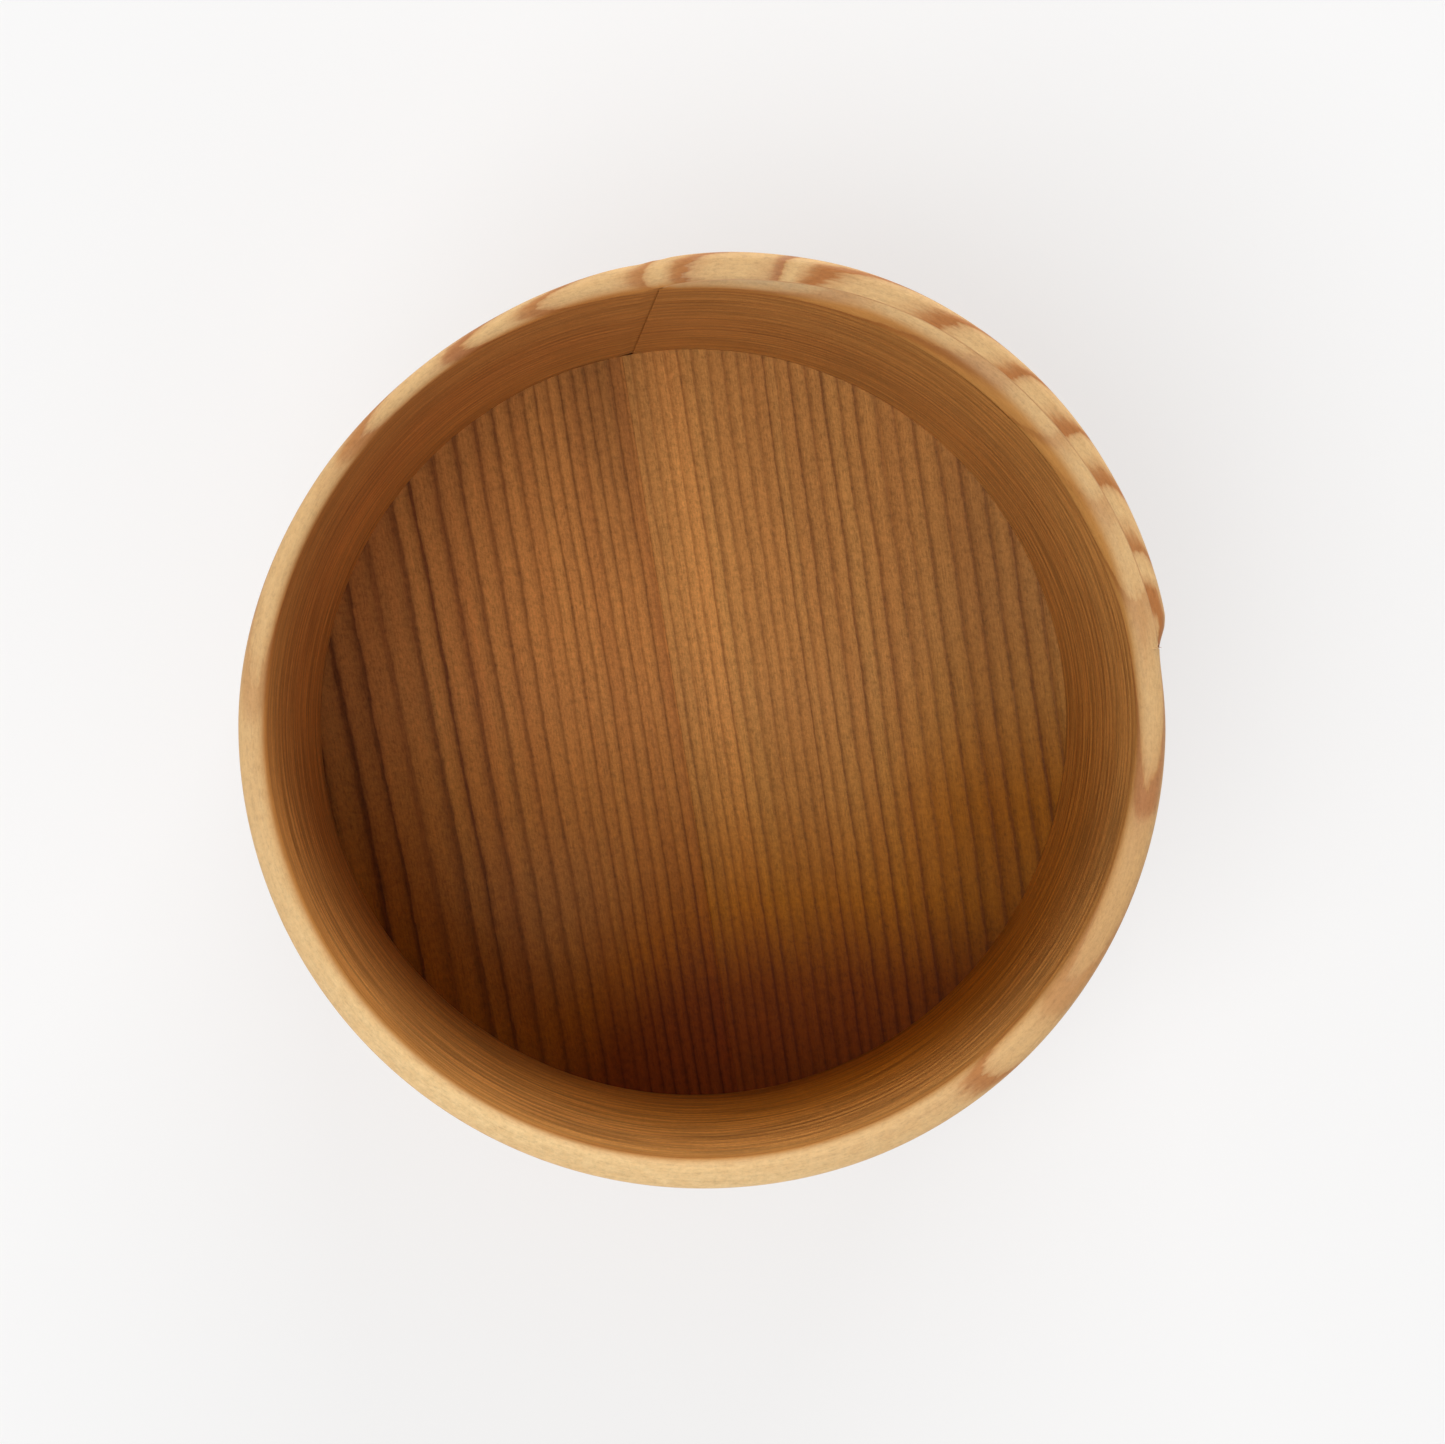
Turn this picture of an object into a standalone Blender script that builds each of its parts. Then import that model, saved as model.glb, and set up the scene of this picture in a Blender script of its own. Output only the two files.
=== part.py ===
"""A round, open bentwood vessel of Japanese cedar.

One long thin board is bent into a band, and its tapered ends are lapped over each other and glued. The
bottom is two boards glued edge to edge and pressed into the band, a little above its foot. Lengths are
in millimetres until a mesh is made. Angles are in degrees, counter-clockwise from +X seen from above.
The origin is on the surface that the vessel stands on, under the middle of the band's outline.
"""

from math import atan2, cos, hypot, radians, sin, sqrt

import bmesh
import bpy

MM = 0.001

# Driving dimensions
BORE_RADIUS = 60.0
HEIGHT = 80.0
BASE_RAISE = 3.0
BASE_THICKNESS = 6.0
GLUE_GAP = 0.12
FIT_GAP = 0.3

# The band starts at its feathered inner end, runs clockwise once round, and ends on top of itself.
INNER_END_ANGLE = 97.0
FULL_TURN = 360.0
LAP_SWEEP = 87.6
BAND_SWEEP = FULL_TURN + LAP_SWEEP

# Thickness of the bent board, as (degrees travelled from its inner end, millimetres)
BOARD_STATIONS = (
    (0.0, 0.3),
    (7.0, 0.9),
    (17.0, 1.7),
    (27.0, 2.6),
    (37.0, 3.2),
    (50.0, 3.5),
    (87.0, 3.75),
    (99.0, 4.1),
    (125.0, 4.2),
    (160.0, 4.4),
    (187.0, 4.2),
    (230.0, 4.15),
    (277.0, 3.95),
    (307.0, 2.95),
    (327.0, 2.55),
    (337.0, 2.7),
    (347.0, 3.2),
    (357.0, 3.8),
    (367.0, 3.9),
    (377.0, 3.75),
    (397.0, 3.2),
    (417.0, 2.8),
    (427.0, 2.45),
    (437.0, 2.15),
    (443.5, 1.9),
    (445.5, 1.3),
    (BAND_SWEEP, 0.35),
)

# The inner end is cut at a slant: its foot stands this far round from its top, and it is at its own angle
# at this share of the height. The slant fades out over a stretch of the band at either side.
END_SLANT = 4.4
SLANT_LEVEL = 0.7
SLANT_REACH = 24.0
# Over these degrees of travel the inner face steps out of the bore, to pass behind the inner end.
STEP_OUT_START = 357.0

# The rim is rounded further on its inner side, and most over the lap.
RIM_ROUND_IN = 1.9
RIM_ROUND_IN_LAP = 3.4
RIM_ROUND_OUT = 1.5
FOOT_ROUND = 0.9
MOST_ROUND_SHARE = 0.48
LAP_EASING_START = 10.0
LAP_EASING = 25.0

STEP_ANGLE = 3.0
END_STEPS = (443.5, 445.5, BAND_SWEEP)
ACROSS = (0.0, 0.05, 0.16, 0.32, 0.5, 0.68, 0.84, 0.95, 1.0)
UP_THE_WALL = (0.25, 0.5, 0.75)

# The two bottom boards meet on a straight line along their grain, which leans from the Y axis.
JOINT_OFFSET = -2.4
JOINT_LEAN = 9.1
BASE_CHAMFER = 0.5
BASE_STEPS = 60

BAND_COLOUR = (0.52, 0.28, 0.09)
LEFT_COLOUR = (0.36, 0.15, 0.04)
RIGHT_COLOUR = (0.39, 0.18, 0.05)
ROUGHNESS = 0.55
SHARP_FROM = 40.0


def smooth(share):
    """Eases from 0 to 1 with level ends."""
    share = min(max(share, 0.0), 1.0)
    return share * share * (3.0 - 2.0 * share)


def station_slope(i):
    """Slope of the thickness curve at a station, chosen so that it never overshoots a neighbour."""
    if i in (0, len(BOARD_STATIONS) - 1):
        return 0.0
    (x0, y0), (x1, y1), (x2, y2) = BOARD_STATIONS[i - 1 : i + 2]
    before = (y1 - y0) / (x1 - x0)
    after = (y2 - y1) / (x2 - x1)
    if before * after <= 0.0:
        return 0.0
    return 2.0 * before * after / (before + after)


def board_thickness(travel):
    """Thickness of the bent board at this many degrees from its inner end."""
    i = 0
    while i < len(BOARD_STATIONS) - 2 and BOARD_STATIONS[i + 1][0] <= travel:
        i += 1
    (x0, y0), (x1, y1) = BOARD_STATIONS[i : i + 2]
    width = x1 - x0
    t = (travel - x0) / width
    level = y0 + (y1 - y0) * t * t * (3.0 - 2.0 * t)
    bend = t * (1.0 - t) ** 2 * station_slope(i) - t * t * (1.0 - t) * station_slope(i + 1)
    return level + width * bend


def inner_face(travel):
    """Radius of the board's inner face: the bore, then in the lap the back of the inner layer."""
    if travel <= STEP_OUT_START:
        return BORE_RADIUS
    behind = BORE_RADIUS + board_thickness(max(travel - FULL_TURN, 0.0)) + GLUE_GAP
    share = smooth((travel - STEP_OUT_START) / (FULL_TURN - STEP_OUT_START))
    return BORE_RADIUS + share * (behind - BORE_RADIUS)


def outer_face(travel):
    return inner_face(travel) + board_thickness(travel)


def wall_outside(travel):
    """Outer radius of the whole wall here, counting both layers of the lap."""
    if travel <= LAP_SWEEP:
        return outer_face(travel + FULL_TURN)
    return outer_face(travel)


def edge_drop(distance, size):
    """Drop of a rounded edge, at a distance from its side face."""
    if distance >= size:
        return 0.0
    return size - sqrt(max(size * size - (size - distance) ** 2, 0.0))


def end_drop(radius, outside, size_in, size_out):
    """How far the rounded edges take the wall's end back at this radius."""
    most = MOST_ROUND_SHARE * (outside - BORE_RADIUS)
    from_inside = edge_drop(radius - BORE_RADIUS, min(size_in, most))
    from_outside = edge_drop(outside - radius, min(size_out, most))
    return max(from_inside, from_outside)


def rim_round_inside(travel):
    """Size of the rim's inner rounding, which grows over the lap."""
    turn = travel % FULL_TURN
    share = smooth((turn - LAP_EASING_START) / LAP_EASING) * smooth((LAP_SWEEP - turn) / LAP_EASING)
    return RIM_ROUND_IN + (RIM_ROUND_IN_LAP - RIM_ROUND_IN) * share


def section(travel):
    """Closed outline of the board's cross-section as (radius, height): foot, outer side, rim, inner side."""
    low = inner_face(travel)
    high = outer_face(travel)
    outside = wall_outside(travel)
    radii = [low + (high - low) * share for share in ACROSS]
    round_in = rim_round_inside(travel)
    foot = [(r, end_drop(r, outside, FOOT_ROUND, FOOT_ROUND)) for r in radii]
    outer = [(high, HEIGHT * share) for share in UP_THE_WALL]
    rim = [(r, HEIGHT - end_drop(r, outside, round_in, RIM_ROUND_OUT)) for r in reversed(radii)]
    inner = [(low, HEIGHT * share) for share in reversed(UP_THE_WALL)]
    return foot + outer + rim + inner


def point_of_band(travel, radius, height):
    """A point of the band. Near the inner end it leans with the slanted cut of that end."""
    from_end = (travel + FULL_TURN / 2) % FULL_TURN - FULL_TURN / 2
    lean = END_SLANT * (1.0 - smooth(abs(from_end) / SLANT_REACH)) * (SLANT_LEVEL - height / HEIGHT)
    angle = radians(INNER_END_ANGLE - travel + lean)
    return (radius * cos(angle) * MM, radius * sin(angle) * MM, height * MM)


def band_steps():
    """Degrees of travel at which the band gets a cross-section, finer at its outer end."""
    whole = int(END_STEPS[0] // STEP_ANGLE)
    return [STEP_ANGLE * i for i in range(whole + 1)] + list(END_STEPS)


def cap(mesh, ring, flip):
    """Closes one end of the band with strips between its inner and its outer side, from foot to rim."""
    across = len(ACROSS)
    up = len(UP_THE_WALL)
    foot = ring[:across]
    outer = ring[across : across + up]
    rim = ring[across + up : 2 * across + up][::-1]
    inner = ring[2 * across + up :][::-1]
    left = [foot[0], *inner, rim[0]]
    right = [foot[-1], *outer, rim[-1]]
    last = len(left) - 2
    for i in range(last + 1):
        corners = [left[i], right[i], right[i + 1], left[i + 1]]
        if i == 0:
            corners = [*foot, right[1], left[1]]
        if i == last:
            corners = [left[i], right[i], *rim[::-1]]
        mesh.faces.new(corners[::-1] if flip else corners)


def side_band():
    """The bent wall board, from its feathered inner end to its outer lap end."""
    mesh = bmesh.new()
    rings = []
    for travel in band_steps():
        outline = section(travel)
        rings.append([mesh.verts.new(point_of_band(travel, r, z)) for r, z in outline])
    count = len(rings[0])
    for here, there in zip(rings, rings[1:]):
        for j in range(count):
            k = (j + 1) % count
            mesh.faces.new((here[j], here[k], there[k], there[j]))
    cap(mesh, rings[0], flip=False)
    cap(mesh, rings[-1], flip=True)
    return finished("side_band", mesh, cedar("cedar_band", BAND_COLOUR))


def board_outline(side):
    """Outline of one bottom board: the joint's straight edge, and the arc that fits the band."""
    radius = BORE_RADIUS - FIT_GAP
    lean = radians(JOINT_LEAN)
    edge = JOINT_OFFSET * cos(lean) + side * FIT_GAP / 2
    half_chord = sqrt(radius * radius - edge * edge)
    middle = lean if side > 0 else lean + radians(180.0)
    half_angle = atan2(half_chord, side * edge)
    steps = [middle + half_angle * (2 * i / BASE_STEPS - 1) for i in range(BASE_STEPS + 1)]
    return [(radius * cos(a), radius * sin(a)) for a in steps]


def base_board(name, side, colour):
    """One bottom board: a flat slab with its lower round edge chamfered."""
    mesh = bmesh.new()
    outline = [mesh.verts.new((x * MM, y * MM, BASE_RAISE * MM)) for x, y in board_outline(side)]
    bottom = mesh.faces.new(outline)
    made = bmesh.ops.extrude_face_region(mesh, geom=[bottom])
    lifted = [v for v in made["geom"] if isinstance(v, bmesh.types.BMVert)]
    bmesh.ops.translate(mesh, verts=lifted, vec=(0, 0, BASE_THICKNESS * MM))
    middle = (BASE_RAISE + BASE_THICKNESS / 2) * MM
    lower_rim = [
        edge
        for edge in mesh.edges
        if all(v.co.z < middle for v in edge.verts) and on_the_arc(edge)
    ]
    bmesh.ops.bevel(mesh, geom=lower_rim, offset=BASE_CHAMFER * MM, segments=1, affect="EDGES")
    return finished(name, mesh, cedar(f"cedar_{name}", colour))


def on_the_arc(edge):
    """True where an edge lies along the round side of a bottom board, not along its joint."""
    middle = (edge.verts[0].co + edge.verts[1].co) / 2
    return hypot(middle.x, middle.y) > (BORE_RADIUS - 2 * FIT_GAP) * MM


def cedar(name, colour):
    """Bare planed cedar."""
    material = bpy.data.materials.new(name)
    material.use_nodes = True
    shader = material.node_tree.nodes["Principled BSDF"]
    shader.inputs["Base Color"].default_value = (*colour, 1.0)
    shader.inputs["Roughness"].default_value = ROUGHNESS
    shader.inputs["Metallic"].default_value = 0.0
    return material


def finished(name, mesh, material):
    """Turns the bmesh into a named object with outward faces, smooth where the wood is rounded."""
    bmesh.ops.recalc_face_normals(mesh, faces=mesh.faces)
    data = bpy.data.meshes.new(name)
    mesh.to_mesh(data)
    mesh.free()
    data.materials.append(material)
    data.shade_smooth()
    data.set_sharp_from_angle(angle=radians(SHARP_FROM))
    item = bpy.data.objects.new(name, data)
    bpy.context.scene.collection.objects.link(item)
    return item


def outline_middle(item):
    """Middle of an object's outline seen from above."""
    xs = [v.co.x for v in item.data.vertices]
    ys = [v.co.y for v in item.data.vertices]
    return (min(xs) + max(xs)) / 2, (min(ys) + max(ys)) / 2


def main():
    for item in list(bpy.data.objects):
        bpy.data.objects.remove(item)
    band = side_band()
    left = base_board("base_board_left", -1, LEFT_COLOUR)
    right = base_board("base_board_right", 1, RIGHT_COLOUR)
    # The lap makes the outline lopsided, so the bore's axis stands a little off the origin.
    bore = bpy.data.objects.new("bore_axis", None)
    bpy.context.scene.collection.objects.link(bore)
    middle_x, middle_y = outline_middle(band)
    bore.location = (-middle_x, -middle_y, 0.0)
    for item in (band, left, right):
        item.parent = bore


main()
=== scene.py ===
"""Looks of a round bentwood cedar vessel in a studio: the bent band, its glue line and the jointed bottom."""

from math import cos, pi, radians, sin

import bpy
import numpy as np
from mathutils import Matrix, Vector


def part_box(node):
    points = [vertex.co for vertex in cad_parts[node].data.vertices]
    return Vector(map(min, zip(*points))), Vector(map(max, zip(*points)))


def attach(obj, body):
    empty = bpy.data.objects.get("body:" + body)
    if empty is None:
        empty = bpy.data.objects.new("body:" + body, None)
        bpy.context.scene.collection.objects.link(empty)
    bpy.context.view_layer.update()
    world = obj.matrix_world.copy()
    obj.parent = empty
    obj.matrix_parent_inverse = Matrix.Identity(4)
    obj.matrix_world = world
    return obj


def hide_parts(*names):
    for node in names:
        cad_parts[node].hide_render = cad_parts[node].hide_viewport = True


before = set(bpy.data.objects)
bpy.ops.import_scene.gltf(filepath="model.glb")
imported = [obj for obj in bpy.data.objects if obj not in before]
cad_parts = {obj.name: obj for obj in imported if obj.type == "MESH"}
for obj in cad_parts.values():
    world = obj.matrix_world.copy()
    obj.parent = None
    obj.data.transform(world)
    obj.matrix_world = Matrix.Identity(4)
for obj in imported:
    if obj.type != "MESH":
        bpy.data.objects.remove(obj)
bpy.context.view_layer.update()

MM = 0.001

# ---- Places and sizes that come from the frame, in millimetres ----
FIT_GAP = 0.3
BAND_BOX = [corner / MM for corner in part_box("side_band")]
LEFT_BOX = [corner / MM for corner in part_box("base_board_left")]
RIGHT_BOX = [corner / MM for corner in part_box("base_board_right")]
BORE_X = (LEFT_BOX[0].x + RIGHT_BOX[1].x) / 2
BORE_Y = (min(LEFT_BOX[0].y, RIGHT_BOX[0].y) + max(LEFT_BOX[1].y, RIGHT_BOX[1].y)) / 2
BORE_RADIUS = (RIGHT_BOX[1].x - LEFT_BOX[0].x) / 2 + FIT_GAP
HEIGHT = BAND_BOX[1].z
BASE_BOTTOM = LEFT_BOX[0].z
BASE_TOP = LEFT_BOX[1].z

# ---- The bent board. Travel is in degrees, clockwise from its feathered inner end ----
INNER_END_ANGLE = 97.0
FULL_TURN = 360.0
LAP_SWEEP = 87.6
BAND_SWEEP = FULL_TURN + LAP_SWEEP
GLUE_GAP = 0.12
BOARD_STATIONS = (
    (0.0, 0.16),
    (2.0, 0.45),
    (7.0, 0.9),
    (17.0, 1.7),
    (27.0, 2.6),
    (37.0, 3.2),
    (50.0, 3.5),
    (87.0, 3.75),
    (99.0, 4.1),
    (125.0, 4.2),
    (160.0, 4.4),
    (187.0, 4.2),
    (230.0, 4.15),
    (277.0, 3.95),
    (307.0, 2.95),
    (327.0, 2.55),
    (337.0, 2.7),
    (347.0, 3.2),
    (357.0, 3.8),
    (367.0, 3.9),
    (377.0, 3.75),
    (397.0, 3.2),
    (417.0, 2.8),
    (427.0, 2.45),
    (437.0, 2.15),
    (443.5, 1.9),
    (445.0, 1.5),
    (446.2, 0.85),
    (447.0, 0.42),
    (BAND_SWEEP, 0.2),
)
FILLET_HEIGHT = 0.34
FILLET_LENGTH = 1.5
END_SLANT = 4.4
SLANT_LEVEL = 0.7
SLANT_REACH = 24.0
STEP_OUT_START = 357.5
RIM_ROUND_IN = 1.9
RIM_ROUND_IN_LAP = 3.4
LAP_EASING_START = 10.0
LAP_EASING = 25.0
RIM_ROUND_OUT = 1.5
FOOT_ROUND = 0.9
MOST_ROUND_SHARE = 0.49
HAND_SANDED = 0.07

# ---- Looks of the bent board. Each side with a look of its own is (azimuth, spread) in degrees ----
# Painted light: the side where light falls. There the rim and faces are painted paler, and away from it they
# are painted darker
LIT_SIDE = (246.0, 48.0)
TAN_SIDE = (335.0, 22.0)
TAN_SHARE = 0.6
# Painted shade: the side on which the lower inner face is painted darker and redder
SHADED_SIDE = (305.0, 55.0)
# Painted bounce light: the side on which the lower inner face is painted paler
BOUNCE_LIGHT_SIDE = (145.0, 52.0)
RUDDY_SIDE = (140.0, 58.0)
CALM_SIDE = (100.0, 66.0)
# How much of the streaks is lost on the calm side, near the rim and on the outside
CALM_SHARE = 0.45
CALM_NEAR_RIM = 0.8
CALM_OUTSIDE = 0.72
# How far down the inner face the sanding of the rim reaches, in millimetres: everywhere, and more past the
# lap, on the feathered inner end, and at these sides, as (azimuth, spread, more)
SANDING_REACH = 0.8
SANDING_PAST_LAP = 0.2
SANDING_FEATHERED = 0.9
WIDER_SANDING = (
    (300.0, 70.0, 0.9),
    (345.0, 32.0, 0.6),
    (145.0, 25.0, 0.5),
)

# ---- Growth rings of the bent board ----
# Travel at which each ring crosses the top of the rim, with the width of its strip of late wood, on both
# sides of the place where the grain runs level
LEVEL_GRAIN = 207.0
LEVEL_RING = 0.45
CROSSINGS_BEFORE = (
    (4.8, 3.8),
    (28.0, 3.8),
    (48.0, 3.8),
    (59.5, 3.0),
    (69.5, 3.8),
    (82.0, 8.6),
    (107.5, 2.6),
    (135.0, 3.8),
    (150.0, 3.8),
)
CROSSINGS_AFTER = (
    (280.0, 3.8),
    (315.5, 4.5),
    (332.6, 2.2),
    (342.6, 2.4),
    (357.4, 2.6),
    (362.6, 1.8),
    (376.3, 1.4),
    (381.0, 2.3),
    (398.0, 3.8),
    (408.5, 2.6),
    (418.5, 3.6),
    (425.7, 2.6),
    (434.7, 3.4),
    (440.6, 1.8),
)
LATE_WOOD_SHARE = 0.27
# How dark the late wood is on the rim, by travel: faint where the feathered inner end was pared, and near
# the level grain
LATE_WOOD_DEPTH = (
    (0.0, 0.4),
    (75.0, 0.45),
    (92.0, 0.5),
    (108.0, 0.85),
    (128.0, 0.55),
    (142.0, 0.6),
    (150.0, 0.9),
    (200.0, 0.4),
    (295.0, 0.4),
    (312.0, 0.9),
    (330.0, 0.95),
    (345.0, 0.85),
    (357.0, 0.95),
    (375.0, 0.85),
    (382.0, 1.0),
    (BAND_SWEEP, 1.0),
)
BAND_RING_WIDTHS = (1.9, 3.9)
RINGS_BELOW_RIM = 50
SPARE_RINGS_ABOVE = 3
RING_TILT = -0.12

# ---- Growth rings of the bottom, by distance across the grain from the bore's axis ----
JOINT_OFFSET = -2.4
GRAIN_LEAN = 0.1581
GRAIN_FAN = -0.0008
LEAST_LEAN = 0.145
BASE_RING_WIDTHS = (
    (-70.0, 5.0),
    (-45.0, 4.5),
    (-35.0, 3.5),
    (-24.0, 3.1),
    (-19.0, 2.1),
    (-5.0, 1.8),
    (5.0, 2.1),
    (16.0, 2.1),
    (26.0, 2.7),
    (40.0, 3.1),
    (70.0, 3.1),
)
BASE_REACH = 72.0
BASE_RING_TILT = 0.22
RIDGE_HEIGHT = 0.03

# ---- Edges of the bottom boards. Here they fill the thin glue gap that the CAD leaves round them ----
BOARD_CLEARANCE = 0.01
EASED_EDGE_WIDTH = 0.02
EASED_EDGE_DEPTH = 0.04
BASE_CHAMFER = 0.5
JOINT_GAP = 0.01
JOINT_GAP_ABOVE = 0.03
JOINT_GAP_BELOW = 0.2


def smooth(share):
    """Eases from 0 to 1 with level ends."""
    share = np.clip(share, 0.0, 1.0)
    return share * share * (3.0 - 2.0 * share)


def curve_through(stations, at):
    """A curve through stations, as (place, value), that never overshoots them."""
    x, y = np.array(stations).T
    rise = np.diff(y) / np.diff(x)
    product = rise[:-1] * rise[1:]
    total = np.where(product > 0, rise[:-1] + rise[1:], 1.0)
    slope = np.concatenate([[0.0], np.where(product > 0, 2 * product / total, 0.0), [0.0]])
    i = np.clip(np.searchsorted(x, at, side="right") - 1, 0, len(x) - 2)
    width = x[i + 1] - x[i]
    t = np.clip((at - x[i]) / width, 0.0, 1.0)
    level = y[i] + (y[i + 1] - y[i]) * t * t * (3 - 2 * t)
    return level + width * (t * (1 - t) ** 2 * slope[i] - t * t * (1 - t) * slope[i + 1])


def slow_waves(x, seed, wavelength):
    """A smooth irregular line between about -1 and 1, which repeats after one wavelength."""
    random = np.random.default_rng(seed)
    total = np.zeros(np.shape(x))
    for k in range(1, 5):
        total = total + np.sin(2 * pi * x * k / wavelength + random.uniform(0, 2 * pi)) / k
    return total / 1.6


# ---------------------------------------------------------------- the bent band


def board_thickness(travel):
    """Thickness of the board. Just past the outer end it swells a little, sanded into a fillet."""
    fillet = FILLET_HEIGHT * np.exp(-np.abs(travel - LAP_SWEEP) / FILLET_LENGTH)
    past_the_lap = (travel > LAP_SWEEP) & (travel < FULL_TURN)
    return curve_through(BOARD_STATIONS, travel) + np.where(past_the_lap, fillet, 0.0)


def inner_face(travel):
    """Radius of the board's inner face: the bore, then in the lap the back of the inner layer."""
    behind = BORE_RADIUS + board_thickness(np.maximum(travel - FULL_TURN, 0.0)) + GLUE_GAP
    share = smooth((travel - STEP_OUT_START) / (FULL_TURN - STEP_OUT_START))
    return BORE_RADIUS + share * (behind - BORE_RADIUS)


def outer_face(travel):
    sanded = HAND_SANDED * slow_waves(travel, 3, FULL_TURN)
    free_side = smooth((travel - LAP_SWEEP) / 6.0) * smooth((BAND_SWEEP - travel) / 6.0)
    return inner_face(travel) + board_thickness(travel) + sanded * free_side


def wall_outside(travel):
    """Outer radius of the whole wall, counting both layers of the lap."""
    return outer_face(np.where(travel <= LAP_SWEEP, travel + FULL_TURN, travel))


def edge_drop(distance, size):
    """Drop of a rounded edge, at a distance from its side face."""
    share = np.clip((size - distance) / size, 0.0, 1.0)
    return size * (1 - np.sqrt(1 - share * share))


def end_drop(radius, outside, size_in, size_out):
    """How far the rounded end of the wall lies back at this radius."""
    most = MOST_ROUND_SHARE * (outside - BORE_RADIUS)
    from_inside = edge_drop(radius - BORE_RADIUS, np.minimum(size_in, most))
    from_outside = edge_drop(outside - radius, np.minimum(size_out, most))
    return np.maximum(from_inside, from_outside)


def rim_height(travel, radius):
    """Height of the rounded rim: sanded by hand, so uneven, and rounded further on the inside of the lap."""
    uneven = 1 + 0.12 * slow_waves(travel, 5, FULL_TURN)
    turn = travel % FULL_TURN
    in_lap = smooth((turn - LAP_EASING_START) / LAP_EASING) * smooth((LAP_SWEEP - turn) / LAP_EASING)
    size_in = (RIM_ROUND_IN + (RIM_ROUND_IN_LAP - RIM_ROUND_IN) * in_lap) * uneven
    drop = end_drop(radius, wall_outside(travel), size_in, RIM_ROUND_OUT * uneven)
    return HEIGHT - HAND_SANDED * (1 + slow_waves(travel, 8, FULL_TURN)) / 2 - drop


def foot_height(travel, radius):
    return end_drop(radius, wall_outside(travel), FOOT_ROUND, FOOT_ROUND)


def turned(travel, radius, height):
    """Points in the part's frame. Near the inner end they lean with the slanted cut of that end."""
    from_end = (travel + FULL_TURN / 2) % FULL_TURN - FULL_TURN / 2
    lean = END_SLANT * (1 - smooth(np.abs(from_end) / SLANT_REACH)) * (SLANT_LEVEL - height / HEIGHT)
    angle = np.radians(INNER_END_ANGLE - travel + lean)
    return np.stack([BORE_X + radius * np.cos(angle), BORE_Y + radius * np.sin(angle), height], axis=-1)


def side_weight(travel, azimuth, spread):
    """1 on the side of the band at this azimuth, falling smoothly to 0 away from it."""
    apart = (INNER_END_ANGLE - travel - azimuth + FULL_TURN / 2) % FULL_TURN - FULL_TURN / 2
    return np.exp(-((apart / spread) ** 2))


def band_steps(first, last):
    """Travel of each cross-section, finer at the ends and where the board steps out of the bore."""
    fine_spans = ((0.0, 4.0), (84.0, 92.0), (356.0, 361.0), (440.0, BAND_SWEEP))
    fine = [np.arange(a, b, 0.25) for a, b in fine_spans]
    steps = np.concatenate([np.arange(0.0, BAND_SWEEP, 0.75), *fine, [LAP_SWEEP, BAND_SWEEP]])
    steps = np.unique(np.round(steps, 4))
    return steps[(steps >= first) & (steps <= last)]


def tube_faces(stations, around):
    """Quads of a closed tube, with an end face at its first and its last station."""
    faces = []
    for i in range(stations - 1):
        here, there = i * around, (i + 1) * around
        for j in range(around):
            k = (j + 1) % around
            faces.append((here + j, here + k, there + k, there + j))
    faces.append(tuple(range(around))[::-1])
    faces.append(tuple(range((stations - 1) * around, stations * around)))
    return faces


def band_ring_edges():
    """Height of each ring's boundary above the rim where the grain is level, and the ring's number."""
    random = np.random.default_rng(21)
    above = len(CROSSINGS_AFTER) + SPARE_RINGS_ABOVE
    widths = random.uniform(*BAND_RING_WIDTHS, RINGS_BELOW_RIM + above)
    heights = np.concatenate([[0.0], np.cumsum(widths)])
    numbers = np.arange(len(heights)) - RINGS_BELOW_RIM
    return heights - heights[RINGS_BELOW_RIM], numbers


def rim_crossings():
    """Travel and ring count at both sides of each strip of late wood on the rim."""
    places, counts = [LEVEL_GRAIN], [LEVEL_RING]
    for k, (place, late) in enumerate(CROSSINGS_AFTER, start=1):
        places += [place - late, place]
        counts += [k - LATE_WOOD_SHARE, k]
    for k, (place, late) in enumerate(reversed(CROSSINGS_BEFORE), start=1):
        places[:0] = [place, place + late]
        counts[:0] = [k, k - LATE_WOOD_SHARE]
    return [*places, BAND_SWEEP + 8], [*counts, len(CROSSINGS_AFTER) + 0.6]


def band_rings(travel, height, depth):
    """The board as solid wood: which growth ring a point lies in, with its fraction of that ring."""
    edges, numbers = band_ring_edges()
    places, counts = rim_crossings()
    rise = np.interp(counts, numbers, edges)
    climbed = height - HEIGHT + np.interp(travel, places, rise) + RING_TILT * depth
    climbed = climbed + 0.16 * slow_waves(travel + 0.4 * height, 13, 95.0)
    return np.interp(climbed, edges, numbers)


def sanding_reach(travel, feathered):
    """How far down the inner face the sanding of the rim reaches, in millimetres."""
    reach = SANDING_REACH + SANDING_PAST_LAP * smooth((travel % FULL_TURN - 75) / 15)
    for azimuth, spread, more in WIDER_SANDING:
        reach = reach + more * side_weight(travel, azimuth, spread)
    return reach + SANDING_FEATHERED * feathered


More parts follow.
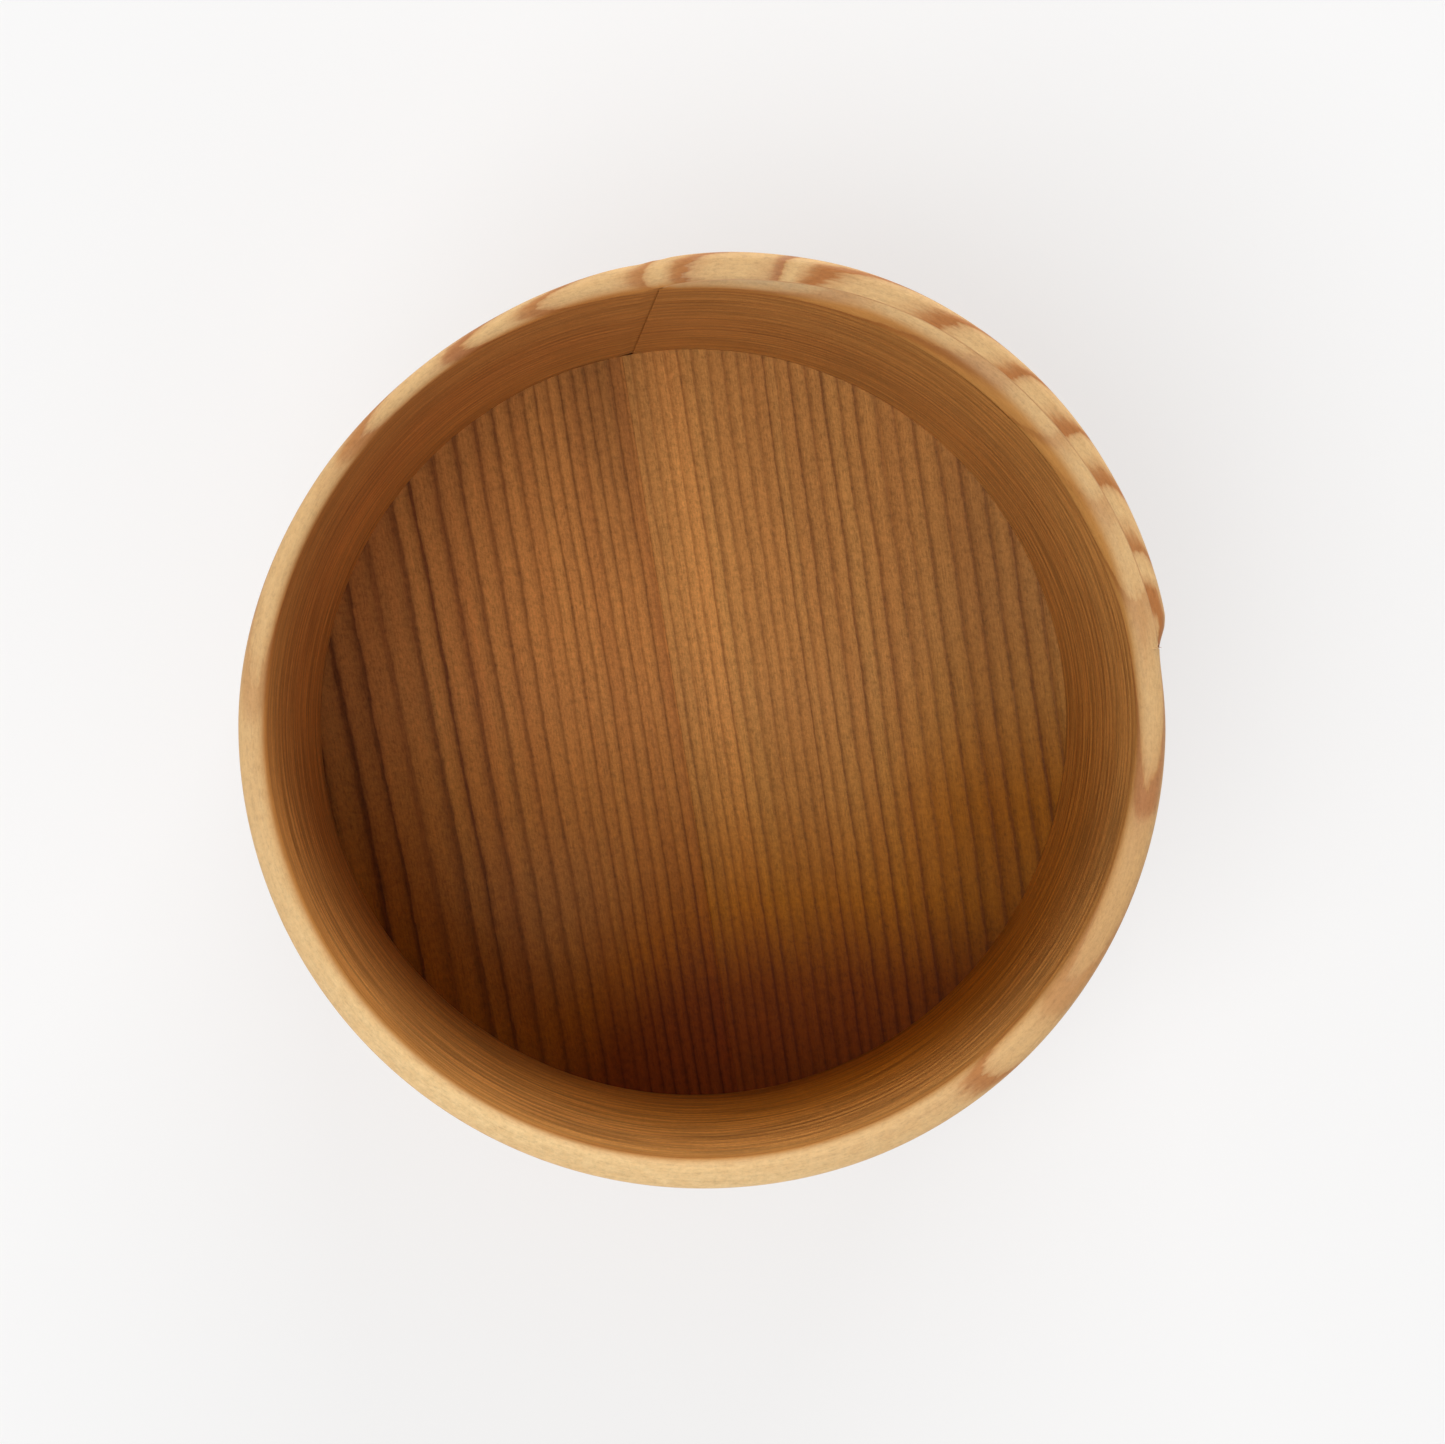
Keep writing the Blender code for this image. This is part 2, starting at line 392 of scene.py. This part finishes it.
def band_tones(travel, radius, height):
    """The values at each point of the band by which its material mixes its colours."""
    below_rim = HEIGHT - height
    outward = smooth((radius - BORE_RADIUS) / (wall_outside(travel) - BORE_RADIUS) * 2 - 0.5)
    inward = 1 - outward
    feathered = smooth(travel / 3) * (1 - smooth((travel - 16) / 14))
    # Painted shade by side: 0 on the lit side and 1 away from it, and more on the tan side, where the rim has
    # a tan tone. It also lets the pale rim reach further down the outside on the lit side
    side_shade_and_tan = 1 - side_weight(travel, *LIT_SIDE) + TAN_SHARE * side_weight(travel, *TAN_SIDE)
    sanded_inside = 1 - smooth(below_rim / sanding_reach(travel, feathered))
    sanded_outside = 1 - smooth((below_rim - 1 + 1.3 * np.minimum(side_shade_and_tan, 1)) / 5)
    low_inside = inward * smooth((below_rim - 5) / 50)
    near_rim = inward * (1 - smooth(below_rim / 8))
    streaked = 1 - CALM_SHARE * side_weight(travel, *CALM_SIDE)
    streaked = streaked * (1 - CALM_NEAR_RIM * near_rim) * (1 - CALM_OUTSIDE * outward)
    return {
        "sanded": inward * sanded_inside + outward * sanded_outside,
        # Painted light and shade by side, with a tan tone on one side
        "side_shade_and_tan": side_shade_and_tan,
        "feathered": feathered,
        # Painted shade, darker and redder, low on the inner face on one side
        "deep": low_inside * side_weight(travel, *SHADED_SIDE),
        # Painted bounce light, low on the inner face on another side
        "bounce_light": low_inside * side_weight(travel, *BOUNCE_LIGHT_SIDE),
        "quiet": 1 - streaked,
        "ruddy": inward * side_weight(travel, *RUDDY_SIDE) * (1 - 0.7 * smooth((below_rim - 35) / 30)),
        "late": curve_through(LATE_WOOD_DEPTH, travel),
    }


def bent_band():
    """The whole bent board, from its feathered inner end to the sanded step at its outer end."""
    travel = band_steps(0.0, BAND_SWEEP)[:, None]
    low = inner_face(travel)
    high = outer_face(travel)
    across = (1 - np.cos(np.linspace(0, pi, 23))) / 2
    radii = low + (high - low) * across
    levels = np.linspace(0.03, 0.965, 24) * HEIGHT + 0 * travel
    radius = np.hstack([radii, high + 0 * levels, radii[:, ::-1], low + 0 * levels])
    rim = rim_height(travel, radii)
    height = np.hstack([foot_height(travel, radii), levels, rim[:, ::-1], levels[:, ::-1]])
    along = travel + 0 * radius
    depth = radius - low
    return piece(
        "bent_band",
        turned(along, radius, height),
        tube_faces(*radius.shape),
        band_cedar(),
        rings=band_rings(along, height, depth),
        grain=np.stack([along * BORE_RADIUS * pi / 180, height, depth], axis=-1),
        **band_tones(along, radius, height),
    )


def lap_glue_line():
    """The thin film of glue in the lap, set back a hair from the wood's surface at rim and foot."""
    travel = band_steps(0.5, LAP_SWEEP - 0.25)[:, None]
    reach = 0.02
    below_the_wood = 0.03
    low = outer_face(travel) - reach
    high = inner_face(travel + FULL_TURN) + reach
    radius = np.hstack([low, high, high, low])
    foot = foot_height(travel, radius[:, :2]) + below_the_wood
    rim = rim_height(travel, radius[:, 2:]) - below_the_wood
    points = turned(travel + 0 * radius, radius, np.hstack([foot, rim]))
    return piece("lap_glue_line", points, tube_faces(*radius.shape), glue())


# ---------------------------------------------------------------- the bottom boards


def lean_of(across):
    """How far a grain line of the bottom leans from the Y axis, by its place across the grain."""
    return np.maximum(GRAIN_LEAN + GRAIN_FAN * (across - JOINT_OFFSET), LEAST_LEAN)


def across_grain(x, y):
    """Place across the grain of points measured from the bore's axis: where their grain line meets y = 0."""
    across = x + GRAIN_LEAN * y
    for _ in range(4):
        across = x + lean_of(across) * y
    return across


def base_ring_edges():
    """Place of each ring's boundary across the grain."""
    random = np.random.default_rng(7)
    edges = [-BASE_REACH]
    while edges[-1] < BASE_REACH:
        width = curve_through(BASE_RING_WIDTHS, np.array(edges[-1]))
        edges.append(edges[-1] + float(width) * random.uniform(0.82, 1.18))
    return np.array(edges)


def base_rings(across, along, height, side):
    """Ring number and fraction. The two boards were turned so that their rings grow towards the joint."""
    edges = base_ring_edges()
    numbers = np.arange(len(edges))
    wavy = 0.22 * slow_waves(along + 3.0 * across, 17, 150.0) + 0.1 * slow_waves(along, 19 + side, 47.0)
    place = across + wavy + side * BASE_RING_TILT * (BASE_TOP - height)
    ring = np.interp(place, edges, numbers)
    return ring if side < 0 else len(edges) - ring


def spot(x, y, middle_x, middle_y, reach_x, reach_y):
    """1 in the middle of a soft oval area of the bottom, falling to 0 around it."""
    return np.exp(-(((x - middle_x) / reach_x) ** 2) - ((y - middle_y) / reach_y) ** 2)


def painted_light_and_pale_streak(x, y):
    """How much paler than plain the bottom is: painted light behind the middle and to the left, and the
    wood's own pale streak. It is darker beside the joint and at the right edge.
    """
    across = across_grain(x, y)
    streak = np.exp(-(((across - 4.5) / 3.0) ** 2)) * smooth((y + 45) / 45)
    beside_joint = np.exp(-(((across + 7) / 5) ** 2)) * smooth((y - 5) / 45)
    right_edge = smooth((x - 33) / 14)
    # Painted light behind the middle and to the left, and a pale streak in the wood
    pale = 0.3 * spot(x, y, -4, 16, 36, 30) + 0.36 * spot(x, y, -34, 10, 24, 38) + 0.3 * streak
    return pale - 0.3 * beside_joint - 0.2 * right_edge


def deep_wood(x, y):
    """How far the bottom turns darker and redder, from 0 to 1: to the front, partly the wood's own red-brown
    and partly painted shade under the front wall, and a little to the right.
    """
    towards_front = (3 - y) / 53
    front = smooth((-y - 10) / 20)
    left = 0.42 * np.exp(-(((x + 27) / 18) ** 2)) * front
    right = 0.3 * smooth((x - 22) / 25) * (1 - front)
    return np.clip(towards_front - left + right, 0, 1)


def late_depth(x, deep):
    """How dark the bottom's late wood is: a little less left of the joint, more far left and where the bottom
    is darker and redder.
    """
    return 0.56 - 0.08 * smooth((2 - x) / 8) + 0.2 * smooth((-x - 14) / 28) + 0.08 * deep


def ridge(ring):
    """Harder late wood stands a little proud of the early wood, and is steep at the ring's boundary."""
    share = ring % 1.0
    return smooth((share - 0.55) / 0.38) * (1 - smooth((share - 0.95) / 0.05)) - 0.3


def board_grid(side, radius, joint_gap, height):
    """A sheet in the outline of one bottom board. Its columns run along the grain, from the joint out."""
    columns, rows = 400, 40
    inner = JOINT_OFFSET + side * joint_gap
    outer = side * radius * (1 + LEAST_LEAN**2) ** 0.5
    for _ in range(4):
        outer = side * radius * (1 + lean_of(outer) ** 2) ** 0.5
    place = np.sin(np.linspace(0, 0.99, columns) * pi / 2)[:, None]
    across = inner + (outer - inner) * place
    lean = lean_of(across)
    middle = across * lean / (1 + lean**2)
    half = np.sqrt(np.maximum(radius**2 * (1 + lean**2) - across**2, 0)) / (1 + lean**2)
    along = middle + half * np.linspace(-1, 1, rows)
    x = across - lean * along
    return np.stack([BORE_X + x, BORE_Y + along, height + 0 * x], axis=-1)


def perimeter(grid):
    """The outline of a sheet, once round."""
    sides = [grid[:-1, 0], grid[-1, :-1], grid[1:, -1][::-1], grid[0, 1:][::-1]]
    return np.concatenate(sides)


def sheet_faces(columns, rows, start, turn_over):
    faces = []
    for i in range(columns - 1):
        for j in range(rows - 1):
            a = start + i * rows + j
            corners = (a, a + rows, a + rows + 1, a + 1)
            faces.append(corners[::-1] if turn_over else corners)
    return faces


def belt_faces(upper, lower, turn_over):
    """Quads between two outlines, each given as vertex numbers in the same order."""
    faces = []
    for i in range(len(upper)):
        k = (i + 1) % len(upper)
        corners = (upper[i], lower[i], lower[k], upper[k])
        faces.append(corners[::-1] if turn_over else corners)
    return faces


def bottom_board(name, side, material):
    """One bottom board: ridged upper face, eased upper edge, chamfered lower edge, smooth underside."""
    radius = BORE_RADIUS - BOARD_CLEARANCE
    top = board_grid(side, radius - EASED_EDGE_WIDTH, JOINT_GAP_ABOVE, BASE_TOP)
    upper = board_grid(side, radius, JOINT_GAP, BASE_TOP - EASED_EDGE_DEPTH)
    lower = board_grid(side, radius, JOINT_GAP, BASE_BOTTOM + BASE_CHAMFER)
    bottom = board_grid(side, radius - BASE_CHAMFER, JOINT_GAP_BELOW, BASE_BOTTOM)
    columns, rows = top.shape[:2]
    numbers = np.arange(columns * rows).reshape(columns, rows)
    count = columns * rows
    outline = perimeter(numbers)
    belt = len(outline)
    upper_ids = count + np.arange(belt)
    lower_ids = upper_ids + belt
    bottom_start = count + 2 * belt
    points = np.concatenate([top.reshape(-1, 3), perimeter(upper), perimeter(lower), bottom.reshape(-1, 3)])
    x, y, z = (points - (BORE_X, BORE_Y, 0.0)).T
    across = across_grain(x, y)
    ring = base_rings(across, y, z, side)
    is_top = np.arange(len(points)) < count
    points[:, 2] += np.where(is_top, RIDGE_HEIGHT * ridge(ring), 0.0)
    flip = side < 0
    faces = sheet_faces(columns, rows, 0, flip)
    faces += belt_faces(outline, upper_ids, flip)
    faces += belt_faces(upper_ids, lower_ids, flip)
    faces += belt_faces(lower_ids, bottom_start + outline, flip)
    faces += sheet_faces(columns, rows, bottom_start, not flip)
    grain = np.stack([y, across, z], axis=-1)
    # Painted shade to the front and painted light behind the middle and to the left, mixed with the wood's
    # own tones
    deep = deep_wood(x, y)
    late = late_depth(x, deep)
    pale = painted_light_and_pale_streak(x, y)
    return piece(name, points, faces, material, rings=ring, grain=grain, late=late, pale=pale, deep=deep)


def piece(name, points, faces, material, **attributes):
    """A mesh object from points in millimetres, with a value or a vector at every vertex for its material."""
    mesh = bpy.data.meshes.new(name)
    mesh.from_pydata((points.reshape(-1, 3) * MM).tolist(), [], [tuple(map(int, face)) for face in faces])
    for key, values in attributes.items():
        is_vector = values.ndim > 1 and values.shape[-1] == 3
        attribute = mesh.attributes.new(key, "FLOAT_VECTOR" if is_vector else "FLOAT", "POINT")
        attribute.data.foreach_set("vector" if is_vector else "value", values.astype(np.float32).ravel())
    mesh.materials.append(material)
    mesh.shade_smooth()
    mesh.set_sharp_from_angle(angle=radians(35))
    item = bpy.data.objects.new(name, mesh)
    bpy.context.scene.collection.objects.link(item)
    return item


# ---------------------------------------------------------------- materials


class Nodes:
    """Short calls that add shader nodes to one material."""

    def __init__(self, name):
        self.material = bpy.data.materials.new(name)
        self.material.use_nodes = True
        self.tree = self.material.node_tree
        self.shader = self.tree.nodes["Principled BSDF"]

    def put(self, socket, value):
        if isinstance(value, bpy.types.NodeSocket):
            self.tree.links.new(value, socket)
        else:
            socket.default_value = value

    def add(self, kind, **settings):
        node = self.tree.nodes.new(kind)
        for key, value in settings.items():
            setattr(node, key, value)
        return node

    def attribute(self, name, output):
        return self.add("ShaderNodeAttribute", attribute_name=name).outputs[output]

    def math(self, operation, first, second=0.0, third=0.0):
        node = self.add("ShaderNodeMath", operation=operation)
        for socket, value in zip(node.inputs, (first, second, third)):
            self.put(socket, value)
        return node.outputs[0]

    def scaled(self, vector, scale):
        node = self.add("ShaderNodeVectorMath", operation="MULTIPLY")
        self.put(node.inputs[0], vector)
        self.put(node.inputs[1], scale)
        return node.outputs[0]

    def noise(self, vector, scale, detail=3.0, rough=0.55, contrast=1.0):
        """Noise about 0.5, over a vector scaled by scale. Contrast widens its range."""
        node = self.add("ShaderNodeTexNoise")
        self.put(node.inputs["Vector"], self.scaled(vector, scale))
        node.inputs["Scale"].default_value = 1.0
        node.inputs["Detail"].default_value = detail
        node.inputs["Roughness"].default_value = rough
        centred = self.math("SUBTRACT", node.outputs["Fac"], 0.5)
        return self.math("MULTIPLY_ADD", centred, contrast, 0.5)

    def random(self, value):
        node = self.add("ShaderNodeTexWhiteNoise", noise_dimensions="1D")
        self.put(node.inputs["W"], value)
        return node.outputs["Value"]

    def ramp(self, value, *stops):
        """A ramp through stops, each a place with a grey level or with a colour."""
        node = self.add("ShaderNodeValToRGB")
        self.put(node.inputs["Fac"], value)
        elements = node.color_ramp.elements
        while len(elements) < len(stops):
            elements.new(0.5)
        for element, (place, level) in zip(elements, stops):
            element.position = place
            element.color = level if isinstance(level, tuple) else (level, level, level, 1.0)
        return node.outputs["Color"]

    def mix(self, factor, first, second, blend="MIX"):
        node = self.add("ShaderNodeMix", data_type="RGBA", blend_type=blend)
        self.put(node.inputs["Factor"], factor)
        self.put(node.inputs[6], first)
        self.put(node.inputs[7], second)
        return node.outputs[2]

    def multiplied(self, first, second):
        return self.mix(1.0, first, second, blend="MULTIPLY")

    def bump(self, height, distance):
        """The normal of a relief, with its depth in millimetres."""
        node = self.add("ShaderNodeBump")
        self.put(node.inputs["Height"], height)
        node.inputs["Distance"].default_value = distance * MM
        return node.outputs["Normal"]


def colour(red, green, blue):
    return (red, green, blue, 1.0)


WHITE = colour(1.0, 1.0, 1.0)
# Each bottom board's early wood, in its redder and in its paler tone, and its late wood
LEFT_WOOD = (colour(0.33, 0.127, 0.032), colour(0.415, 0.19, 0.049), colour(0.105, 0.03, 0.007))
RIGHT_WOOD = (colour(0.36, 0.158, 0.042), colour(0.435, 0.22, 0.061), colour(0.135, 0.043, 0.010))
# What the face of the bent board is multiplied by where it has painted shade, darker and redder, and where it
# is ruddy
FACE_TINTS = (
    ("deep", colour(1.03, 0.82, 0.22)),
    ("ruddy", colour(0.93, 0.78, 0.76)),
)
# Each ramp below is how dark a growth ring is, by the fraction of the ring
BAND_RING_RAMP = ((0.0, 0.9), (0.07, 0.35), (0.2, 0.08), (0.5, 0.0), (0.69, 0.3), (0.82, 0.85), (0.92, 1.0))
BASE_RING_RAMP = ((0.0, 0.9), (0.07, 0.4), (0.18, 0.1), (0.4, 0.0), (0.62, 0.15), (0.8, 0.45), (0.92, 1.0))
# What the bottom's wood is multiplied by, from plain to dark red-brown, which is partly the wood's own and
# partly painted shade under the front wall
RED_WOOD_AND_SHADE_RAMP = (
    (0.0, colour(1.08, 1.04, 1.0)),
    (0.28, colour(1.06, 0.98, 0.74)),
    (0.6, colour(0.96, 0.70, 0.11)),
    (0.85, colour(0.66, 0.34, 0.03)),
    (1.0, colour(0.65, 0.30, 0.06)),
)
# Ranges of a brightness, in the names of the node that maps it: the floor's by distance from the vessel in
# metres, and the world's by height above the horizon
FLOOR_GLOW = (("From Min", 0.4), ("From Max", 1.7), ("To Min", 0.525), ("To Max", 1.0))
WORLD_GLOW = (("From Min", 0.0), ("From Max", 0.8), ("To Min", 1.0), ("To Max", 0.3))


def late_wood(n, rings, grain, ramp):
    """How much of a point is dark late wood, from 0 to 1, and a random number for its growth ring."""
    ragged = n.noise(grain, (0.35, 2.4, 2.4), detail=3.0, contrast=0.22)
    place = n.math("ADD", rings, n.math("SUBTRACT", ragged, 0.5))
    dark = n.ramp(n.math("FRACT", place), *ramp)
    return dark, n.random(n.math("FLOOR", place))


def fibres(n, grain):
    """Fine streaks and pores along the grain, about 0.5, and the finest of them alone."""
    fine = n.noise(grain, (0.09, 5.0, 5.0), detail=4.0, rough=0.7, contrast=1.8)
    pores = n.noise(grain, (1.0, 3.2, 3.2), detail=4.0, rough=0.75, contrast=3.0)
    broad = n.noise(grain, (0.02, 1.3, 1.3), detail=3.0, contrast=1.5)
    speckle = n.noise(grain, (1.3, 0.9, 1.6), detail=4.0, rough=0.85, contrast=3.2)
    streaks = n.math("MULTIPLY_ADD", fine, 0.25, n.math("MULTIPLY", broad, 0.2))
    streaks = n.math("MULTIPLY_ADD", speckle, 0.25, streaks)
    return n.math("MULTIPLY_ADD", pores, 0.3, streaks), fine


def band_face(n, grain, dark, pick, streaks, cloud):
    """Colour of the bent board's faces: golden brown and streaked, ruddier on one side, with painted shade
    that darkens them away from the lit side and makes them darker and redder low on one side, and painted
    bounce light that makes them paler low on another.
    """
    early = n.mix(cloud, colour(0.46, 0.20, 0.046), colour(0.53, 0.26, 0.070))
    late_share = n.math("MULTIPLY", dark, n.math("MULTIPLY_ADD", pick, 0.5, 0.22))
    face = n.mix(late_share, early, colour(0.27, 0.085, 0.017))
    lines = n.noise(grain, (0.045, 0.5, 0.8), detail=5.0, rough=0.72, contrast=2.8)
    lines = n.ramp(lines, (0.3, 0.71), (0.5, 1.0), (0.7, 1.26))
    lines = n.multiplied(lines, n.ramp(streaks, (0.25, 0.66), (0.5, 1.0), (0.75, 1.3)))
    face = n.multiplied(face, n.mix(n.attribute("quiet", "Fac"), lines, WHITE))
    # The tints lay painted shade, darker and redder, low on one side, and a ruddy tone on another
    for where, tint in FACE_TINTS:
        face = n.mix(n.attribute(where, "Fac"), face, n.multiplied(face, tint))
    # Painted bounce light lifts the lower inner face on one side
    lift = n.math("MULTIPLY_ADD", n.attribute("bounce_light", "Fac"), 0.3, 1.0)
    # Painted shade darkens the faces away from the lit side
    return n.multiplied(face, n.math("MULTIPLY_ADD", n.attribute("side_shade_and_tan", "Fac"), -0.07, lift))


def band_rim(n, grain, dark, pick, streaks, cloud):
    """Colour of the sanded rim: pale, painted paler still on the lit side and darker away from it, mottled
    tan, and crossed by strips of late wood.
    """
    mottle = n.noise(grain, (0.5, 1.0, 1.0), detail=4.0, rough=0.7, contrast=2.4)
    # Painted light: the rim is paler on the lit side and darker away from it
    side_shade_and_tan_share = n.math("MULTIPLY", n.attribute("side_shade_and_tan", "Fac"), 0.625)
    plain = n.mix(side_shade_and_tan_share, colour(0.76, 0.55, 0.28), colour(0.504, 0.291, 0.12))
    plain = n.mix(n.attribute("feathered", "Fac"), plain, colour(0.42, 0.285, 0.15))
    tan = n.math("MULTIPLY_ADD", mottle, 0.45, n.math("MULTIPLY", cloud, 0.3))
    early = n.mix(tan, plain, colour(0.56, 0.33, 0.135))
    purple = n.ramp(pick, (0.0, 0.0), (0.8, 0.0), (1.0, 1.0))
    late = n.mix(purple, colour(0.36, 0.135, 0.037), colour(0.35, 0.15, 0.066))
    depth = n.math("MULTIPLY", n.attribute("late", "Fac"), n.math("MULTIPLY_ADD", pick, 0.2, 0.9))
    rim = n.mix(n.math("MULTIPLY", dark, depth), early, late)
    return n.multiplied(rim, n.ramp(streaks, (0.25, 0.82), (0.5, 1.0), (0.75, 1.1)))


def band_cedar():
    """Bare cedar of the bent board: golden brown on its faces, pale and freshly sanded on the rim, with
    painted light and shade by side.
    """
    n = Nodes("cedar_band_wood")
    grain = n.attribute("grain", "Vector")
    dark, pick = late_wood(n, n.attribute("rings", "Fac"), grain, BAND_RING_RAMP)
    streaks, fine = fibres(n, grain)
    cloud = n.noise(grain, (0.03, 0.25, 0.3), detail=3.0, contrast=1.8)
    face = band_face(n, grain, dark, pick, streaks, cloud)
    rim = band_rim(n, grain, dark, pick, streaks, cloud)
    n.put(n.shader.inputs["Base Color"], n.mix(n.attribute("sanded", "Fac"), face, rim))
    gloss = n.math("MULTIPLY_ADD", fine, 0.16, 0.46)
    n.put(n.shader.inputs["Roughness"], n.math("SUBTRACT", gloss, n.math("MULTIPLY", dark, 0.06)))
    n.shader.inputs["Specular IOR Level"].default_value = 0.2
    relief = n.math("MULTIPLY_ADD", dark, 0.5, n.math("MULTIPLY", streaks, 1.2))
    n.put(n.shader.inputs["Normal"], n.bump(relief, 0.06))
    return n.material


def base_cedar(name, early_red, early_pale, late):
    """Straight-grained cedar heartwood of a bottom board, with painted shade to the front and painted light
    behind the middle and to the left.
    """
    n = Nodes(name)
    rings = n.attribute("rings", "Fac")
    grain = n.attribute("grain", "Vector")
    dark, pick = late_wood(n, rings, grain, BASE_RING_RAMP)
    depth = n.math("MULTIPLY", n.attribute("late", "Fac"), n.math("MULTIPLY_ADD", pick, 0.7, 0.65))
    streaks, fine = fibres(n, grain)
    cloud = n.noise(grain, (0.012, 0.16, 0.1), detail=3.0, contrast=1.8)
    tone = n.math("MULTIPLY_ADD", cloud, 0.75, n.math("MULTIPLY", pick, 0.25))
    early = n.mix(tone, early_red, early_pale)
    wood = n.mix(n.math("MULTIPLY", dark, depth), early, late)
    # Painted shade: darker and redder to the front, partly the wood's own red-brown
    deep = n.ramp(n.attribute("deep", "Fac"), *RED_WOOD_AND_SHADE_RAMP)
    wood = n.multiplied(wood, deep)
    # Painted light: paler behind the middle and to the left, and in the wood's pale streak
    lift = n.math("MULTIPLY_ADD", n.attribute("pale", "Fac"), 0.8, 1.0)
    shade = n.math("MULTIPLY", lift, n.ramp(streaks, (0.25, 0.64), (0.5, 1.0), (0.75, 1.3)))
    n.put(n.shader.inputs["Base Color"], n.multiplied(wood, shade))
    n.put(n.shader.inputs["Roughness"], n.math("MULTIPLY_ADD", fine, 0.16, 0.5))
    n.shader.inputs["Specular IOR Level"].default_value = 0.15
    n.put(n.shader.inputs["Normal"], n.bump(n.math("MULTIPLY_ADD", dark, 0.3, streaks), 0.05))
    return n.material


def glue():
    """Dried glue, amber and a little glossy."""
    n = Nodes("dried_glue")
    where = n.add("ShaderNodeTexCoord").outputs["Object"]
    blotch = n.noise(where, (400.0, 400.0, 400.0), detail=2.0, contrast=1.5)
    n.put(n.shader.inputs["Base Color"], n.mix(blotch, colour(0.40, 0.19, 0.07), colour(0.55, 0.32, 0.14)))
    n.put(n.shader.inputs["Roughness"], n.math("MULTIPLY_ADD", blotch, 0.2, 0.3))
    return n.material


def pale_floor():
    """A studio sweep that glows a little, which keeps shadows light, and more far off, to hide its edge."""
    n = Nodes("pale_floor")
    n.shader.inputs["Base Color"].default_value = colour(0.357, 0.357, 0.357)
    n.shader.inputs["Roughness"].default_value = 1.0
    n.shader.inputs["Specular IOR Level"].default_value = 0.0
    n.shader.inputs["Emission Color"].default_value = WHITE
    where = n.add("ShaderNodeTexCoord").outputs["Object"]
    away = n.add("ShaderNodeVectorMath", operation="LENGTH")
    n.put(away.inputs[0], where)
    strength = n.add("ShaderNodeMapRange", interpolation_type="SMOOTHSTEP")
    n.put(strength.inputs["Value"], away.outputs["Value"])
    for name, value in FLOOR_GLOW:
        strength.inputs[name].default_value = value
    n.put(n.shader.inputs["Emission Strength"], strength.outputs[0])
    return n.material


# ---------------------------------------------------------------- studio


def studio_floor():
    size = 4000.0
    corners = np.array([(-size, -size, 0), (size, -size, 0), (size, size, 0), (-size, size, 0)])
    floor = piece("studio_floor", corners, [(0, 1, 2, 3)], pale_floor())


def soft_box(name, azimuth, elevation, power):
    """A square area light that looks at the middle of the vessel."""
    distance, size = 1.3, 0.9
    light = bpy.data.lights.new(name, "AREA")
    light.shape = "SQUARE"
    light.size = size
    light.energy = power
    item = bpy.data.objects.new(name, light)
    middle = Vector((BORE_X, BORE_Y, HEIGHT / 2)) * MM
    a, e = radians(azimuth), radians(elevation)
    towards = Vector((cos(a) * cos(e), sin(a) * cos(e), sin(e)))
    item.location = middle + towards * distance
    item.rotation_euler = towards.to_track_quat("Z", "Y").to_euler()
    bpy.context.scene.collection.objects.link(item)


def studio_world():
    """White at the horizon, so that the sweep has no edge, and dimmer overhead."""
    world = bpy.data.worlds.new("studio")
    world.use_nodes = True
    nodes, links = world.node_tree.nodes, world.node_tree.links
    direction = nodes.new("ShaderNodeTexCoord")
    split = nodes.new("ShaderNodeSeparateXYZ")
    strength = nodes.new("ShaderNodeMapRange")
    strength.interpolation_type = "SMOOTHSTEP"
    for name, value in WORLD_GLOW:
        strength.inputs[name].default_value = value
    links.new(direction.outputs["Generated"], split.inputs[0])
    links.new(split.outputs["Z"], strength.inputs["Value"])
    links.new(strength.outputs[0], nodes["Background"].inputs["Strength"])
    nodes["Background"].inputs["Color"].default_value = WHITE
    bpy.context.scene.world = world


def studio_light():
    studio_world()
    bpy.context.scene.view_settings.view_transform = "Standard"
    soft_box("key", azimuth=-135.0, elevation=62.0, power=11.0)
    soft_box("back", azimuth=78.0, elevation=14.0, power=16.0)
    soft_box("right", azimuth=-45.0, elevation=42.0, power=1.9)


def camera_above():
    """A camera almost straight above, a little left of the bore and tilted back towards it."""
    rim_distance = 416.8
    lens_in_frame_widths = 2.0983
    rim_middle = Vector((BORE_X, BORE_Y, HEIGHT))
    above = rim_middle + Vector((-8.1, 1.3, rim_distance))
    target = rim_middle + Vector((2.63, 0.2, 0.0))
    camera = bpy.data.cameras.new("camera")
    camera.sensor_width = 36.0
    camera.lens = lens_in_frame_widths * camera.sensor_width
    camera.clip_start = 0.01
    item = bpy.data.objects.new("camera", camera)
    back = (above - target).normalized()
    right = Vector((0, 1, 0)).cross(back).normalized()
    up = back.cross(right)
    turn = Matrix((right, up, back)).transposed().to_4x4()
    item.matrix_world = Matrix.Translation(above * MM) @ turn
    bpy.context.scene.collection.objects.link(item)
    bpy.context.scene.camera = item


def main():
    camera_above()
    band = bent_band()
    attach(band, "root")
    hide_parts("side_band")
    film = lap_glue_line()
    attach(film, "root")
    left_wood = base_cedar("cedar_base_left_wood", *LEFT_WOOD)
    right_wood = base_cedar("cedar_base_right_wood", *RIGHT_WOOD)
    for side, wood, node in ((-1, left_wood, "base_board_left"), (1, right_wood, "base_board_right")):
        board = bottom_board(node.replace("base_board", "bottom_board"), side, wood)
        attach(board, "root")
        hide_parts(node)
    studio_floor()
    studio_light()


main()
